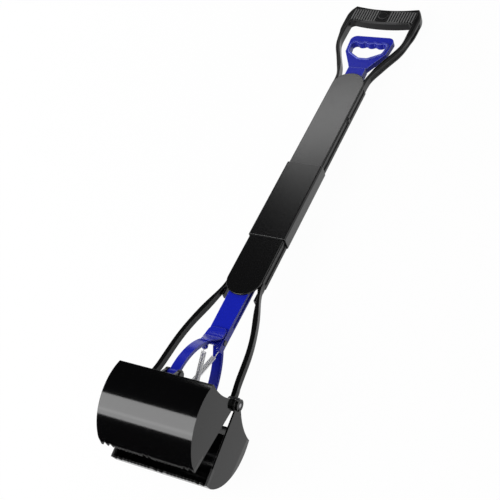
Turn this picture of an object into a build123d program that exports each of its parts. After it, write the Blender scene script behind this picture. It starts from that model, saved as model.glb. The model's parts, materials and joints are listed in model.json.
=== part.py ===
# Folding scooper with a spring-closed jaw, lying on its back
#
# Millimetres. X runs along the jaw axle, the handle runs away from the
# jaws along +Y and slopes down a little, and +Z points up, out of the front
# of the handle. The origin is on the floor, below the middle of the outline.
#
# Inside the script a place is given by three numbers: x along the axle,
# h along the handle from the axle, and f towards the front of the handle.
from build123d import *
from math import asin, atan2, cos, degrees, hypot, pi, radians, sin, sqrt
import os

os.makedirs("parts", exist_ok=True)

# Driving dimensions

tiny = 1e-9
overrun = 1.0                 # how far a cut runs past the surface it opens
running_gap = 0.3             # between faces that slide past one another
shaft_gap = 0.05              # radial clearance of a pin that turns in a bore

# Jaws
jaw_radius = 65.5             # outside of the closed pair, end on
jaw_drop = 36.4               # centre of that circle below the axle
jaw_half_width = 65.0         # outside of the front bucket's end plates
jaw_wall = 2.4
jaw_opening = 9.5             # each bucket as it rests, from closed, degrees
jaw_lean = 1.5                # of the closed pair, to the rear, degrees
lip_gap = 0.3                 # from each bucket's edge to the closing plane
shell_mid_angle = 40.0        # a point of the shell's arc below its centre, degrees
bevel_reach = 13.0            # width of the flat strip behind the teeth
corner_height = 13.2           # wall's top corner above the circle's centre
roof_reach = 26.0             # roof strip, from the corner towards the axle
roof_rise = 3.0               # height that the roof strip gains on the way
ear_radius = 8.6
ear_angle = 40.0              # where the end plate's top edge meets the ear, degrees
ear_dip = 6.5                 # how far the end plate's top edge sags
boss_radius = 7.6
boss_length = 3.9

# Teeth
coarse_pitch = 7.5
coarse_depth = 7.0
coarse_centre = 3
coarse_end = 2
fine_count = 8                # on each side of the centre group
fine_depth = 4.2
tooth_tip = 0.9               # flat left on the point of a tooth

# Axle
axle_radius = 2.5
axle_cap_radius = 4.6
axle_cap_length = 1.6
keyhole_radius = 5.2
keyhole_slot = 3.4
keyhole_depth = 2.0

# Linkage
link_lug_reach = 45.5         # from the axle to a bucket's link pin
link_lug_angle = -4.0         # of that line above square, as it rests
link_lead = 0.4               # how far the link leans in from that pin, degrees
rod_pin_height = 76.0
rod_pin_radius = 2.5
link_pin_radius = 2.0
link_pin_play = 1.5           # radial, takes up the linkage's uneven ratio
link_width = 13.0
link_thickness = 4.6
link_bow = 13.0               # bulge of the strap outside its chord
link_eye_radius = 5.4
link_offset = 3.5             # strap's centre from the middle of the rod
lug_thickness = 3.4
lug_radius = 6.4
pin_head_radius = 3.6
pin_head_length = 1.2

# Pull rod and trigger
rod_half_width = 14.0
rod_end_half_width = 13.4
rod_half_depth = 5.9
rod_cheek = 3.0
rod_web = 2.4
rod_channel = 1.6             # depth of the groove along each side
rod_lobe_drop = 13.5          # tip of the rod's end below its pin
spring_post_drop = 10.5
spring_post_radius = 2.2
fold_height = 308.6           # rivets of the fold above the axle
fold_pin_radius = 3.0
fold_tongue_half_width = 6.0
trigger_rise = 65.6           # top edge above the loop's throat
trigger_half_width = 36.6
trigger_corner = 10.0
trigger_shoulder = 37.0       # height of the loop's nearly upright sides
trigger_taper = 3.0           # how far those sides lean in
trigger_bar = 15.5            # depth of the squeezed bar
trigger_side = 7.0            # width of the loop's two sides
trigger_throat_clear = 23.0   # throat above the upper cover's end
trigger_throat_half_width = 18.0
trigger_half_depth = 5.6
trigger_rim = 1.2             # height of the raised rims
trigger_rim_width = 2.4
trigger_hole_corner = 6.0
finger_pitch = 15.0
finger_radius = 9.0
finger_bump = 2.4             # how far each bump between fingers stands down

# Shaft
shaft_half_width = 26.0
shaft_half_depth = 8.6
shaft_wall = 2.2
rail_groove = 1.2
rail_groove_half_height = 3.6
cover_half_width = 25.3
cover_thickness = 2.2
lower_cover_end = 145.0
cover_past_stop = 93.0        # upper cover's end beyond the sleeve's stops
stop_length = 5.0
stop_depth = 1.3

# Lock sleeve
sleeve_reach = 67.25          # each way from the fold
sleeve_travel = 98.15         # from the locked place to the stops
sleeve_wall = 1.4

# Fork arms
arm_depth = 8.4
arm_eye_half_thickness = 3.3
arm_eye_radius = 8.2
arm_groove = 1.2
eye_step = 0.5                # how far each eye stands proud of its arm

# D handle
hand_gap = 28.9               # between the trigger and the grip
grip_end_rise = 6.0           # top edge of the grip is that much higher at its ends
grip_half_width = 61.5
grip_bar = 32.5               # height of the grip's bar
grip_half_depth = 8.6
grip_corner = 9.0
grip_hole_corner = 6.0
grip_edge = 3.2               # rounding outside
grip_inner_edge = 2.2         # and round the hand hole
grip_arm_root = 6.5           # width of each arm where it joins its rail
rib_pitch = 4.3
rib_groove = 2.0
rib_depth = 1.2
rib_count = 11                # grooves on each side of the plain oval
badge_half_width = 7.5
badge_half_height = 7.0
badge_rise = 0.9

# Shares that the bowed edges pass through. An arm's are of the way from its
# rail out to its eye, and of the height from the axle to where it leaves the
# rail. A grip's are of its half width, and of the height of the D handle.
arm_outer_shares = ((0.03, 0.94), (0.346, 0.755), (0.626, 0.57), (0.832, 0.35), (0.955, 0.12))
arm_inner_shares = ((0.093, 0.93), (0.33, 0.755), (0.605, 0.57), (0.80, 0.37), (0.927, 0.13))
grip_outer_shares = ((0.445, 0.13), (0.56, 0.235), (0.72, 0.36), (0.88, 0.49), (0.96, 0.64), (1.0, 0.84))
grip_inner_shares = ((0.395, 0.16), (0.475, 0.26), (0.62, 0.37), (0.775, 0.49), (0.838, 0.62))

# Springs
spring_radius = 2.7           # of the wire's centre line
spring_wire_radius = 0.6
spring_wire_sides = 6
spring_turns = 6
spring_reach = 8.5            # from the middle to each hook
spring_offset = 3.6           # one passes in front of the other
bend_limit = 0.0006           # less than this sideways counts as straight
spring_lead = 11.0            # straight wire between hook and coils

# Screws
screw_radius = 1.5
screw_head_radius = 2.9
screw_head_length = 1.3
screw_from_end = 34.0         # from a cover's round end

# Places along the handle, each built up from the one below it

sleeve_low = fold_height - sleeve_reach
sleeve_high = fold_height + sleeve_reach
stop_height = sleeve_high + sleeve_travel
upper_cover_end = stop_height + cover_past_stop
trigger_throat_height = upper_cover_end + trigger_throat_clear
trigger_height = trigger_throat_height + trigger_rise
grip_low = trigger_height + hand_gap
grip_height = grip_low + grip_bar
grip_end_height = grip_height + grip_end_rise

# Lie of the part on the floor: the rear bucket's back and the grip's ends
# both touch it, so the handle is tilted by the slope between those two

jaw_turns = {1: radians(jaw_opening - jaw_lean), -1: radians(jaw_opening + jaw_lean)}
jaw_back_h = -jaw_drop * cos(jaw_turns[-1])
jaw_back_f = -jaw_drop * sin(jaw_turns[-1])
grip_back_h = grip_end_height - grip_edge
grip_back_f = -grip_half_depth + grip_edge
lie_span = hypot(grip_back_h - jaw_back_h, grip_back_f - jaw_back_f)
lie_tilt = degrees(asin((jaw_radius - grip_edge) / lie_span)
                   - atan2(grip_back_f - jaw_back_f, grip_back_h - jaw_back_h))

handle_dir = Vector(0, cos(radians(lie_tilt)), -sin(radians(lie_tilt)))
front_dir = Vector(0, sin(radians(lie_tilt)), cos(radians(lie_tilt)))
across_dir = Vector(1, 0, 0)


def along(x, h, f):
    return across_dir * x + handle_dir * h + front_dir * f


# The axle's height above the floor and its distance from the middle
axle_z = jaw_radius - along(0, jaw_back_h, jaw_back_f).Z
tooth_reach = jaw_drop + sqrt(jaw_radius ** 2 - bevel_reach ** 2)
tooth_turn = jaw_turns[-1] - radians(lie_tilt)
jaw_low_y = lip_gap * sin(tooth_turn) - tooth_reach * cos(tooth_turn)
grip_top_y = along(0, grip_end_height - grip_edge, grip_half_depth - grip_edge).Y + grip_edge
axle_y = -(jaw_low_y + grip_top_y) / 2
axle_place = Vector(0, axle_y, axle_z)


def place(x, h, f):
    return axle_place + along(x, h, f)


def face(f):
    # Parallel to the handle's front: local x across, local y up the handle
    return Plane(origin=place(0, 0, f), x_dir=across_dir, z_dir=front_dir)


def side(x):
    # Square to the axle: local x up the handle, local y to the front
    return Plane(origin=place(x, 0, 0), x_dir=handle_dir, z_dir=across_dir)


def section(h):
    # Square to the handle, facing the jaws: local x across, local y to the front
    return Plane(origin=place(0, h, 0), x_dir=across_dir, z_dir=-handle_dir)


def jaw_side(x, facing):
    # As side(), turned with a bucket: local y is outwards from the closing plane
    turn = jaw_turns[facing]
    up = handle_dir * cos(turn) - front_dir * (facing * sin(turn))
    return Plane(origin=place(x, 0, 0), x_dir=up, z_dir=across_dir * facing)


def jaw_base(h, facing):
    # Square to a bucket's own upright: local x along the axle, local y outwards
    turn = jaw_turns[facing]
    up = handle_dir * cos(turn) - front_dir * (facing * sin(turn))
    return Plane(origin=axle_place + up * h, x_dir=across_dir * -facing, z_dir=up)


# Linkage at rest

lug_turn = radians(link_lug_angle)
lug_f = link_lug_reach * cos(lug_turn)
lug_h = link_lug_reach * sin(lug_turn)
link_length = hypot(lug_f, rod_pin_height - lug_h)
link_lean = degrees(atan2(lug_f, rod_pin_height - lug_h)) - link_lead
link_end_f = link_length * sin(radians(link_lean))
link_end_h = rod_pin_height - link_length * cos(radians(link_lean))
lug_half_gap = link_width / 2 + running_gap
lug_outer = lug_half_gap + lug_thickness

# Outline of a bucket as (up its own upright, outwards), as when closed

edge_h = -tooth_reach
edge_inner_h = -jaw_drop - sqrt((jaw_radius - jaw_wall) ** 2 - bevel_reach ** 2)
corner_h = corner_height - jaw_drop
corner_r = sqrt(jaw_radius ** 2 - corner_height ** 2)
corner_inner_h = corner_h - jaw_wall
corner_inner_r = sqrt((jaw_radius - jaw_wall) ** 2 - (corner_height - jaw_wall) ** 2)
roof_h = corner_h + roof_rise
roof_r = corner_r - roof_reach
arc_turn = radians(shell_mid_angle)
arc_h = -jaw_drop - jaw_radius * sin(arc_turn)
arc_r = jaw_radius * cos(arc_turn)
arc_inner_h = -jaw_drop - (jaw_radius - jaw_wall) * sin(arc_turn)
arc_inner_r = (jaw_radius - jaw_wall) * cos(arc_turn)
ear_turn = radians(ear_angle)
ear_h = ear_radius * cos(ear_turn)
ear_r = ear_radius * sin(ear_turn)
top_span = hypot(corner_h - ear_h, corner_r - ear_r)
dip_h = (corner_h + ear_h) / 2 - ear_dip * (corner_r - ear_r) / top_span
dip_r = (corner_r + ear_r) / 2 - ear_dip * (ear_h - corner_h) / top_span
link_pin_hole = link_pin_radius + link_pin_play
rear_half_width = jaw_half_width + running_gap + jaw_wall
boss_end = rear_half_width + boss_length


def end_plate_outline():
    with BuildSketch() as outline:
        with BuildLine():
            Line((0, lip_gap), (edge_h, lip_gap))
            Line((edge_h, lip_gap), (edge_h, bevel_reach))
            ThreePointArc((edge_h, bevel_reach), (arc_h, arc_r), (corner_h, corner_r))
            ThreePointArc((corner_h, corner_r), (dip_h, dip_r), (ear_h, ear_r))
            Line((ear_h, ear_r), (0, lip_gap))
        make_face()
        Circle(ear_radius)
    return outline.sketch


def shell_outline():
    with BuildSketch() as outline:
        with BuildLine():
            Line((edge_h, lip_gap), (edge_h, bevel_reach))
            ThreePointArc((edge_h, bevel_reach), (arc_h, arc_r), (corner_h, corner_r))
            Line((corner_h, corner_r), (roof_h, roof_r))
            Line((roof_h, roof_r), (roof_h - jaw_wall, roof_r))
            Line((roof_h - jaw_wall, roof_r), (corner_inner_h, corner_inner_r))
            ThreePointArc((corner_inner_h, corner_inner_r), (arc_inner_h, arc_inner_r),
                          (edge_inner_h, bevel_reach))
            Line((edge_inner_h, bevel_reach), (edge_inner_h, lip_gap))
            Line((edge_inner_h, lip_gap), (edge_h, lip_gap))
        make_face()
    return outline.sketch


def lug_place(facing):
    # A bucket's link pin hole as (up its own upright, outwards)
    turn = lug_turn - jaw_turns[facing]
    return link_lug_reach * sin(turn), link_lug_reach * cos(turn)


def lug_outline(facing):
    lug_own_h, lug_own_r = lug_place(facing)
    with BuildSketch() as outline:
        with BuildLine():
            Polyline((lug_own_h, lug_own_r - lug_radius), (roof_h - jaw_wall / 2, roof_r),
                     (corner_h + jaw_wall / 2, lug_own_r + 2 * lug_radius),
                     (lug_own_h, lug_own_r + lug_radius), close=True)
        make_face()
        with Locations((lug_own_h, lug_own_r)):
            Circle(lug_radius)
    return outline.sketch


def gullets(inner_half_width):
    # Notches between the teeth, as (middle, half width, depth) across one half
    notches = []
    edge = coarse_pitch * coarse_centre / 2
    for number in range(coarse_centre - 1):
        middle = (number + 1 - coarse_centre / 2) * coarse_pitch
        notches.append((middle, coarse_pitch / 2, coarse_depth))
    room = inner_half_width - edge - coarse_end * coarse_pitch
    fine_pitch = room / fine_count
    for way in (-1, 1):
        for number in range(fine_count):
            middle = edge + (number + 0.5) * fine_pitch
            notches.append((way * middle, fine_pitch / 2, fine_depth))
        for number in range(coarse_end):
            middle = edge + room + (number + 0.5) * coarse_pitch
            notches.append((way * middle, coarse_pitch / 2, coarse_depth))
    return notches


def teeth_cutter(facing, inner_half_width):
    with BuildPart() as cutter:
        with BuildSketch(jaw_base(edge_h - overrun, facing)):
            for middle, half, depth in gullets(inner_half_width):
                low = lip_gap - overrun
                spread = half - tooth_tip / 2
                with BuildLine():
                    Polyline((middle - spread, low), (middle + spread, low),
                             (middle + spread, lip_gap), (middle, lip_gap + depth),
                             (middle - spread, lip_gap), close=True)
                make_face()
        extrude(amount=jaw_wall + 2 * overrun + coarse_depth)
    return cutter.part


def bucket_body(facing, half_width):
    plate = end_plate_outline()
    shell = shell_outline()
    lug = lug_outline(facing)
    with BuildPart() as body:
        for start in (-half_width, half_width - jaw_wall):
            with BuildSketch(jaw_side(facing * start, facing)):
                add(plate)
            extrude(amount=jaw_wall)
        with BuildSketch(jaw_side(-facing * half_width, facing)):
            add(shell)
        extrude(amount=2 * half_width)
        for start in (-lug_outer, lug_half_gap):
            with BuildSketch(jaw_side(facing * (start - link_offset), facing)):
                add(lug)
            extrude(amount=lug_thickness)
        with BuildSketch(jaw_side(-facing * (link_offset + lug_outer + overrun), facing)):
            with Locations(lug_place(facing)):
                Circle(link_pin_hole)
        extrude(amount=2 * (lug_outer + overrun), mode=Mode.SUBTRACT)
        add(teeth_cutter(facing, half_width - jaw_wall), mode=Mode.SUBTRACT)
    return body.part


with BuildPart() as front_bucket:
    add(bucket_body(1, jaw_half_width))
    with BuildSketch(jaw_side(-jaw_half_width - overrun, 1)):
        Circle(axle_radius + shaft_gap)
    extrude(amount=2 * (jaw_half_width + overrun), mode=Mode.SUBTRACT)

with BuildPart() as rear_bucket:
    add(bucket_body(-1, rear_half_width))
    for start in (boss_end, -rear_half_width):
        with BuildSketch(jaw_side(start, -1)):
            Circle(boss_radius)
        extrude(amount=boss_length)
    # Keyhole in each boss, round over the axle's cap, its slot pointing down
    for start in (boss_end + overrun, keyhole_depth - boss_end):
        with BuildSketch(jaw_side(start, -1)):
            Circle(keyhole_radius)
            with Locations((-boss_radius / 2, 0)):
                Rectangle(boss_radius + overrun, keyhole_slot)
        extrude(amount=keyhole_depth + overrun, mode=Mode.SUBTRACT)
    with BuildSketch(jaw_side(boss_end + overrun, -1)):
        Circle(axle_radius + shaft_gap)
    extrude(amount=2 * (boss_end + overrun), mode=Mode.SUBTRACT)

# Axle and its two push-on caps

cap_start = boss_end - keyhole_depth + running_gap
axle_end = cap_start + axle_cap_length

with BuildPart() as jaw_axle:
    with BuildSketch(side(-axle_end)):
        Circle(axle_radius)
    extrude(amount=2 * axle_end)

with BuildPart() as axle_caps:
    for start in (cap_start, -axle_end):
        with BuildSketch(side(start)):
            Circle(axle_cap_radius)
            Circle(axle_radius, mode=Mode.SUBTRACT)
        extrude(amount=axle_cap_length)

# Links, each an arched strap between an eye on the rod's pin and an eye
# between its bucket's lugs; the rear one is the front one turned half round

bow_mid_h = (rod_pin_height + link_end_h) / 2
bow_mid_f = link_end_f / 2
bow_h = bow_mid_h + link_bow * link_end_f / link_length
bow_f = bow_mid_f + link_bow * (rod_pin_height - link_end_h) / link_length


def strap_point(facing, reach, share):
    # On the strap's arc moved outwards by reach, at a share of its length
    chord = link_length / 2
    radius = (chord ** 2 + link_bow ** 2) / (2 * link_bow)
    centre_h = bow_h - radius * link_end_f / link_length
    centre_f = bow_f - radius * (rod_pin_height - link_end_h) / link_length
    start = atan2(rod_pin_height - centre_h, -centre_f)
    finish = atan2(link_end_h - centre_h, link_end_f - centre_f)
    turn = start + (finish - start) * share
    return (centre_h + (radius + reach) * sin(turn),
            facing * (centre_f + (radius + reach) * cos(turn)))


def link_body(facing):
    half = link_thickness / 2
    cut = link_width / 2 - link_offset
    with BuildPart() as body:
        with BuildSketch(side(-facing * link_offset)):
            with BuildLine():
                ThreePointArc(strap_point(facing, half, 0), strap_point(facing, half, 0.5),
                              strap_point(facing, half, 1))
                Line(strap_point(facing, half, 1), strap_point(facing, -half, 1))
                ThreePointArc(strap_point(facing, -half, 1), strap_point(facing, -half, 0.5),
                              strap_point(facing, -half, 0))
                Line(strap_point(facing, -half, 0), strap_point(facing, half, 0))
            make_face()
            with Locations((rod_pin_height, 0)):
                Circle(link_eye_radius)
            with Locations((link_end_h, facing * link_end_f)):
                Circle(link_eye_radius)
        extrude(amount=link_width / 2, both=True)
        # Room at the rod's pin for the other link's eye
        with BuildSketch(side(facing * -shaft_gap)):
            with Locations((rod_pin_height, 0)):
                Circle(link_eye_radius + 2 * running_gap)
        extrude(amount=facing * (cut + overrun), mode=Mode.SUBTRACT)
        with BuildSketch(side(-facing * link_offset)):
            with Locations((rod_pin_height, 0)):
                Circle(rod_pin_radius + shaft_gap)
            with Locations((link_end_h, facing * link_end_f)):
                Circle(link_pin_radius)
        extrude(amount=link_width, both=True, mode=Mode.SUBTRACT)
    return body.part


with BuildPart() as front_link:
    add(link_body(1))

with BuildPart() as rear_link:
    add(link_body(-1))


def link_pin_body(facing):
    # Fixed in the link's eye, loose in the bucket's lugs, a head at each end
    reach = lug_outer + running_gap
    with BuildPart() as body:
        with BuildSketch(side(-facing * link_offset)):
            with Locations((link_end_h, facing * link_end_f)):
                Circle(link_pin_radius)
        extrude(amount=reach + pin_head_length, both=True)
        for start in (-reach - pin_head_length, reach):
            with BuildSketch(side(-facing * link_offset + start)):
                with Locations((link_end_h, facing * link_end_f)):
                    Circle(pin_head_radius + link_pin_play)
            extrude(amount=pin_head_length)
    return body.part


with BuildPart() as front_link_pin:
    add(link_pin_body(1))

with BuildPart() as rear_link_pin:
    add(link_pin_body(-1))

# Pull rod, lower half: fold tongue on top, forked end with the link pin below

rod_fold_radius = rod_half_depth
rod_fold_room = rod_fold_radius + 2 * running_gap
rod_lobe_h = rod_pin_height - rod_lobe_drop
arch_h = rod_pin_height + link_eye_radius + link_thickness


def rod_grooves(low, high):
    # Cutter for the groove along both sides of the rod
    with BuildPart() as cutter:
        with BuildSketch(face(0)):
            with Locations((rod_half_width, (low + high) / 2), (-rod_half_width, (low + high) / 2)):
                SlotOverall(high - low, 2 * rod_channel, rotation=90)
        extrude(amount=rod_half_depth - rod_web, both=True)
    return cutter.part


with BuildPart() as pull_rod:
    with BuildSketch(face(0)):
        with BuildLine():
            Polyline((-rod_end_half_width, rod_lobe_h), (rod_end_half_width, rod_lobe_h),
                     (rod_end_half_width, arch_h), (rod_half_width, lower_cover_end),
                     (rod_half_width, fold_height - rod_fold_room),
                     (-rod_half_width, fold_height - rod_fold_room),
                     (-rod_half_width, lower_cover_end), (-rod_end_half_width, arch_h),
                     close=True)
        make_face()
    extrude(amount=rod_half_depth, both=True)
    # Space between the two cheeks, with an arched top, for the links
    inner = rod_end_half_width - rod_cheek
    with BuildSketch(face(0)):
        with BuildLine():
            Line((-inner, rod_lobe_h - overrun), (inner, rod_lobe_h - overrun))
            Line((inner, rod_lobe_h - overrun), (inner, arch_h - inner / 2))
            ThreePointArc((inner, arch_h - inner / 2), (0, arch_h + inner / 4),
                          (-inner, arch_h - inner / 2))
            Line((-inner, arch_h - inner / 2), (-inner, rod_lobe_h - overrun))
        make_face()
    extrude(amount=rod_half_depth + overrun, both=True, mode=Mode.SUBTRACT)
    # Rounded lobes at the ends of the cheeks, and the posts for the springs
    lobe_edges = pull_rod.edges().filter_by(Axis.X).group_by(SortBy.LENGTH)[0]
    lobe_ends = [e for e in lobe_edges if (e.center() - place(0, rod_lobe_h, 0)).dot(handle_dir) < overrun]
    fillet(lobe_ends, rod_half_depth - rod_channel)
    for way in (-1, 1):
        with BuildSketch(side(way * inner)):
            with Locations((rod_pin_height - spring_post_drop, 0)):
                Circle(spring_post_radius)
        extrude(amount=-way * (inner - spring_reach + 2 * spring_wire_radius))
    add(rod_grooves(arch_h + rod_half_width, fold_height - 2 * rod_half_width), mode=Mode.SUBTRACT)
    # Tongue of the fold
    with BuildSketch(side(0)):
        with Locations((fold_height, 0)):
            Circle(rod_fold_radius)
        with Locations((fold_height - rod_fold_room, 0)):
            Rectangle(2 * rod_fold_room, 2 * rod_half_depth)
    extrude(amount=fold_tongue_half_width, both=True)
    with BuildSketch(side(0)):
        with Locations((fold_height, 0), (rod_pin_height, 0)):
            Circle(rod_pin_radius)
    extrude(amount=rod_half_width + overrun, both=True, mode=Mode.SUBTRACT)

with BuildPart() as rod_end_pin:
    with BuildSketch(side(0)):
        with Locations((rod_pin_height, 0)):
            Circle(rod_pin_radius)
    extrude(amount=rod_end_half_width + pin_head_length, both=True)
    for way in (-1, 1):
        with BuildSketch(side(way * rod_end_half_width)):
            with Locations((rod_pin_height, 0)):
                Circle(pin_head_radius)
        extrude(amount=way * pin_head_length)

with BuildPart() as rod_fold_pin:
    with BuildSketch(side(0)):
        with Locations((fold_height, 0)):
            Circle(rod_pin_radius)
    extrude(amount=rod_half_width, both=True)

# Trigger: finger loop on the upper half of the pull rod

shoulder_h = trigger_height - trigger_shoulder
shoulder_x = trigger_half_width - trigger_taper
stem_top = trigger_throat_height - (trigger_throat_half_width - rod_half_width) * 2
hole_top = trigger_height - trigger_bar
hole_floor = trigger_throat_height + trigger_bar
hole_side = trigger_half_width - trigger_side


def trigger_outline():
    with BuildSketch() as outline:
        with BuildLine():
            Polyline((-trigger_half_width, trigger_height), (trigger_half_width, trigger_height),
                     (shoulder_x, shoulder_h), (trigger_throat_half_width, trigger_throat_height),
                     (rod_half_width, stem_top), (-rod_half_width, stem_top),
                     (-trigger_throat_half_width, trigger_throat_height),
                     (-shoulder_x, shoulder_h), close=True)
        make_face()
    return outline.sketch


def finger_hole_outline():
    floor_x = trigger_side
    with BuildSketch() as outline:
        with BuildLine():
            Polyline((-hole_side, hole_top), (hole_side, hole_top),
                     (hole_side - trigger_taper, shoulder_h), (floor_x, hole_floor),
                     (-floor_x, hole_floor), (trigger_taper - hole_side, shoulder_h), close=True)
        make_face()
    return outline.sketch


with BuildSketch(face(0)) as loop_face:
    add(trigger_outline())
    fillet(loop_face.vertices().group_by(Axis.Y)[-1], trigger_corner)

with BuildSketch(face(0)) as hole_face:
    add(finger_hole_outline())
    fillet(hole_face.vertices(), trigger_hole_corner)
    with Locations((-finger_pitch, hole_top + finger_radius - finger_bump),
                   (0, hole_top + finger_radius - finger_bump),
                   (finger_pitch, hole_top + finger_radius - finger_bump)):
        Circle(finger_radius, mode=Mode.SUBTRACT)

with BuildPart() as trigger:
    add(loop_face.sketch)
    extrude(amount=trigger_half_depth - trigger_rim, both=True)
    # Raised rims round the loop and round the finger hole
    with BuildSketch(face(0)) as rim_face:
        add(loop_face.sketch_local)
        offset(amount=-trigger_rim_width, mode=Mode.SUBTRACT)
        add(hole_face.sketch_local)
        offset(hole_face.sketch_local, amount=trigger_rim_width)
    extrude(amount=trigger_half_depth, both=True)
    add(hole_face.sketch)
    extrude(amount=trigger_half_depth + overrun, both=True, mode=Mode.SUBTRACT)
    # Stem, down to the fork of the fold
    stem_low = fold_height + rod_fold_room
    with BuildSketch(face(0)):
        with Locations((0, (stem_low + stem_top) / 2)):
            Rectangle(2 * rod_half_width, stem_top - stem_low + overrun)
    extrude(amount=rod_half_depth, both=True)
    add(rod_grooves(stem_low + 2 * rod_half_width, stem_top - rod_half_width), mode=Mode.SUBTRACT)
    cheek = rod_half_width - fold_tongue_half_width - running_gap
    for way in (-1, 1):
        with BuildSketch(side(way * rod_half_width)):
            with Locations((fold_height, 0)):
                Circle(rod_fold_radius)
            with Locations((fold_height + rod_fold_room / 2, 0)):
                Rectangle(rod_fold_room + overrun, 2 * rod_half_depth)
        extrude(amount=-way * cheek)
    with BuildSketch(side(0)):
        with Locations((fold_height, 0)):
            Circle(rod_pin_radius)
    extrude(amount=rod_half_width + overrun, both=True, mode=Mode.SUBTRACT)

# Shaft: two channel-shaped frames, open to the front, each under a cover

channel_half_width = shaft_half_width - shaft_wall - rail_groove
cover_low_f = shaft_half_depth - cover_thickness
frame_gap = ear_radius + running_gap
ear_layer = (shaft_half_width - channel_half_width - running_gap) / 2
screw_x = (rod_half_width + channel_half_width) / 2
boss_wall = screw_x - rod_half_width - running_gap


def channel(low, high):
    with BuildPart() as body:
        with BuildSketch(face(-shaft_half_depth)):
            with Locations((0, (low + high) / 2)):
                Rectangle(2 * shaft_half_width, high - low)
        extrude(amount=shaft_half_depth + cover_low_f)
        with BuildSketch(face(shaft_wall - shaft_half_depth)):
            with Locations((0, (low + high) / 2)):
                Rectangle(2 * channel_half_width, high - low + 2 * overrun)
        extrude(amount=2 * shaft_half_depth, mode=Mode.SUBTRACT)
    return body.part


def rail_grooves(low, high):
    # Cutter for the groove along the outside of both rails
    with BuildPart() as cutter:
        with BuildSketch(face(0)):
            with Locations((shaft_half_width, (low + high) / 2), (-shaft_half_width, (low + high) / 2)):
                SlotOverall(high - low, 2 * rail_groove, rotation=90)
        extrude(amount=rail_groove_half_height, both=True)
    return cutter.part


def guide_pads(heights):
    # Short ribs from the rails to the pull rod
    width = channel_half_width - rod_half_width - running_gap
    places = [(way * (channel_half_width - width / 2), height) for height in heights for way in (-1, 1)]
    with BuildPart() as pads:
        with BuildSketch(face(shaft_wall - shaft_half_depth)):
            with Locations(*places):
                Rectangle(width, shaft_wall)
        extrude(amount=cover_low_f + shaft_half_depth - shaft_wall)
    return pads.part


def frame_ears(outer_x, way_h):
    # Rounded ears that overlap at the fold
    with BuildPart() as ears:
        for way in (-1, 1):
            with BuildSketch(side(way * outer_x)):
                with Locations((fold_height, 0)):
                    Circle(cover_low_f)
                with Locations((fold_height + way_h * frame_gap / 2, 0)):
                    Rectangle(frame_gap + overrun, 2 * cover_low_f)
            extrude(amount=-way * ear_layer)
        with BuildSketch(side(0)):
            with Locations((fold_height, 0)):
                Circle(fold_pin_radius)
        extrude(amount=shaft_half_width + overrun, both=True, mode=Mode.SUBTRACT)
    return ears.part


def screw_places(heights):
    return [(way * screw_x, height) for height in heights for way in (-1, 1)]


def screw_holes(heights):
    # Cutter for the screws' shanks and sunk heads in the back of a frame
    with BuildPart() as cutter:
        with BuildSketch(face(-shaft_half_depth - overrun)):
            with Locations(*screw_places(heights)):
                Circle(screw_radius)
        extrude(amount=shaft_wall + 2 * overrun)
        with BuildSketch(face(-shaft_half_depth - overrun)):
            with Locations(*screw_places(heights)):
                Circle(screw_head_radius)
        extrude(amount=screw_head_length + overrun)
    return cutter.part


def cover_outline(start, end):
    # Straight sides, square at the fold and round at the far end
    turn = end + (cover_half_width if end < start else -cover_half_width)
    with BuildSketch() as outline:
        with BuildLine():
            Polyline((-cover_half_width, turn), (-cover_half_width, start),
                     (cover_half_width, start), (cover_half_width, turn))
            ThreePointArc((-cover_half_width, turn), (0, end), (cover_half_width, turn))
        make_face()
    return outline.sketch


lower_start = fold_height - frame_gap
upper_start = fold_height + frame_gap
lower_screws = (lower_cover_end + screw_from_end, sleeve_low - 2 * screw_head_radius)
upper_screws = (sleeve_high + 4 * screw_head_radius, upper_cover_end - screw_from_end)
lower_pads = (lower_cover_end + cover_half_width, (sleeve_low + lower_cover_end) / 2,
              sleeve_low + 2 * cover_half_width)
upper_pads = (sleeve_high - 2 * cover_half_width, (stop_height + sleeve_high) / 2,
              stop_height + 2 * cover_half_width)

# Lower frame: channel, two bowed fork arms and their eyes on the axle

eye_outer = jaw_half_width - jaw_wall - running_gap
eye_inner = eye_outer - 2 * arm_eye_half_thickness
arm_top = lower_cover_end + cover_half_width


def arm_edge(way, shares, start_x, end_x):
    points = [(way * start_x, arm_top)]
    for out_share, up_share in shares:
        points.append((way * (start_x + (end_x - start_x) * out_share), arm_top * up_share))
    points.append((way * end_x, 0))
    return points


with BuildPart() as lower_frame:
    add(channel(arm_top, lower_start))
    inner_start = channel_half_width - ear_layer * 2
    for way in (-1, 1):
        outer = arm_edge(way, arm_outer_shares, shaft_half_width, eye_outer - eye_step)
        inner = arm_edge(way, arm_inner_shares, inner_start, eye_inner + eye_step)
        with BuildSketch(face(0)):
            with BuildLine():
                Spline(outer, tangents=[(0, -1), (0, -1)])
                Spline(inner, tangents=[(0, -1), (0, -1)])
                Line(outer[0], inner[0])
                Line(outer[-1], inner[-1])
            make_face()
        extrude(amount=arm_depth / 2, both=True)
        with BuildSketch(side(way * eye_outer)):
            Circle(arm_eye_radius)
        extrude(amount=-way * 2 * arm_eye_half_thickness)
        # Back of the arm's root, level with the back of the channel
        root_x = (inner_start + shaft_half_width + rail_groove) / 2
        with BuildSketch(face(-shaft_half_depth)):
            with Locations((way * root_x, (lower_cover_end + arm_top + overrun) / 2)):
                Rectangle(shaft_wall + overrun, arm_top - lower_cover_end + overrun)
        extrude(amount=shaft_half_depth)
    add(guide_pads(lower_pads))
    add(rail_grooves(arm_top + 2 * rail_groove, lower_start - 2 * rail_groove), mode=Mode.SUBTRACT)
    add(frame_ears(channel_half_width + ear_layer, -1))
    add(screw_holes(lower_screws), mode=Mode.SUBTRACT)
    with BuildSketch(side(0)):
        Circle(axle_radius)
    extrude(amount=eye_outer + overrun, both=True, mode=Mode.SUBTRACT)

# Upper frame: channel and D handle

loop_low = upper_cover_end - cover_half_width
loop_rise = grip_end_height - loop_low


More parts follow.
